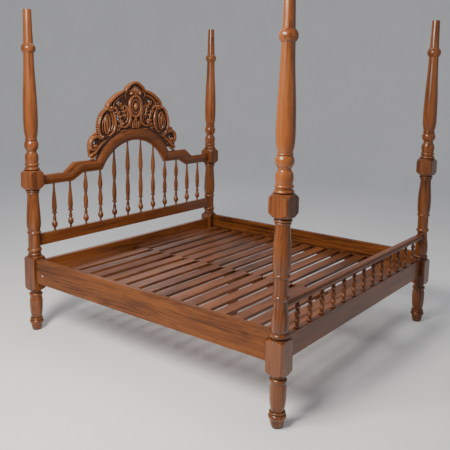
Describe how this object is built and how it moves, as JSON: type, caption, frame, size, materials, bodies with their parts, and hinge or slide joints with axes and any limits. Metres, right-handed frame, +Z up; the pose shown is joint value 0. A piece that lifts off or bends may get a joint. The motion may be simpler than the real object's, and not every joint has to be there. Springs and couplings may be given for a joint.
{
  "type": "four poster bed",
  "caption": "Four poster bed in solid wood with turned posts, an arched spindle headboard with a carved pierced crest, a low spindle gallery at the foot and a slatted deck.",
  "frame": {"origin": "on the floor, midway between the four posts", "axes": "+X across the bed to the right seen from the foot, +Y towards the head end, +Z up"},
  "size_m": [2.078, 2.208, 2.265],
  "materials": {
    "post_wood": "satin varnished reddish brown hardwood, turned",
    "rail_wood": "satin varnished reddish brown hardwood, long straight grain with knots",
    "frame_wood": "plain oiled hardwood",
    "slat_wood": "thinly varnished hardwood boards",
    "carved_wood": "hand carved, satin varnished, darker in the recesses",
    "spindle_wood": "satin varnished turned hardwood",
    "steel": "zinc plated"
  },
  "bodies": {
    "root": {"post_lower_foot_left": "post_wood", "post_upper_foot_left": "post_wood", "post_lower_foot_right": "post_wood", "post_upper_foot_right": "post_wood", "post_lower_head_left": "post_wood", "post_upper_head_left": "post_wood", "post_lower_head_right": "post_wood", "post_upper_head_right": "post_wood", "side_rail_left": "rail_wood", "slat_ledger_left": "frame_wood", "slats_left": "slat_wood", "side_rail_right": "rail_wood", "slat_ledger_right": "frame_wood", "slats_right": "slat_wood", "foot_rail": "rail_wood", "head_rail": "rail_wood", "headboard_lower_rail": "rail_wood", "headboard_top_rail": "rail_wood", "gallery_top_rail": "rail_wood", "centre_beam": "frame_wood", "centre_leg": "frame_wood", "crest_dowels": "frame_wood", "headboard_crest": "carved_wood", "headboard_spindle_01": "spindle_wood", "headboard_spindle_02": "spindle_wood", "headboard_spindle_03": "spindle_wood", "headboard_spindle_04": "spindle_wood", "headboard_spindle_05": "spindle_wood", "headboard_spindle_06": "spindle_wood", "headboard_spindle_07": "spindle_wood", "headboard_spindle_08": "spindle_wood", "headboard_spindle_09": "spindle_wood", "headboard_spindle_10": "spindle_wood", "headboard_spindle_11": "spindle_wood", "headboard_spindle_12": "spindle_wood", "gallery_spindle_01": "spindle_wood", "gallery_spindle_02": "spindle_wood", "gallery_spindle_03": "spindle_wood", "gallery_spindle_04": "spindle_wood", "gallery_spindle_05": "spindle_wood", "gallery_spindle_06": "spindle_wood", "gallery_spindle_07": "spindle_wood", "gallery_spindle_08": "spindle_wood", "gallery_spindle_09": "spindle_wood", "gallery_spindle_10": "spindle_wood", "gallery_spindle_11": "spindle_wood", "gallery_spindle_12": "spindle_wood", "gallery_spindle_13": "spindle_wood", "bed_bolts": "steel", "barrel_nuts": "steel", "ledger_screws": "steel", "bolt_plugs": "rail_wood"}
  },
  "joints": []
}
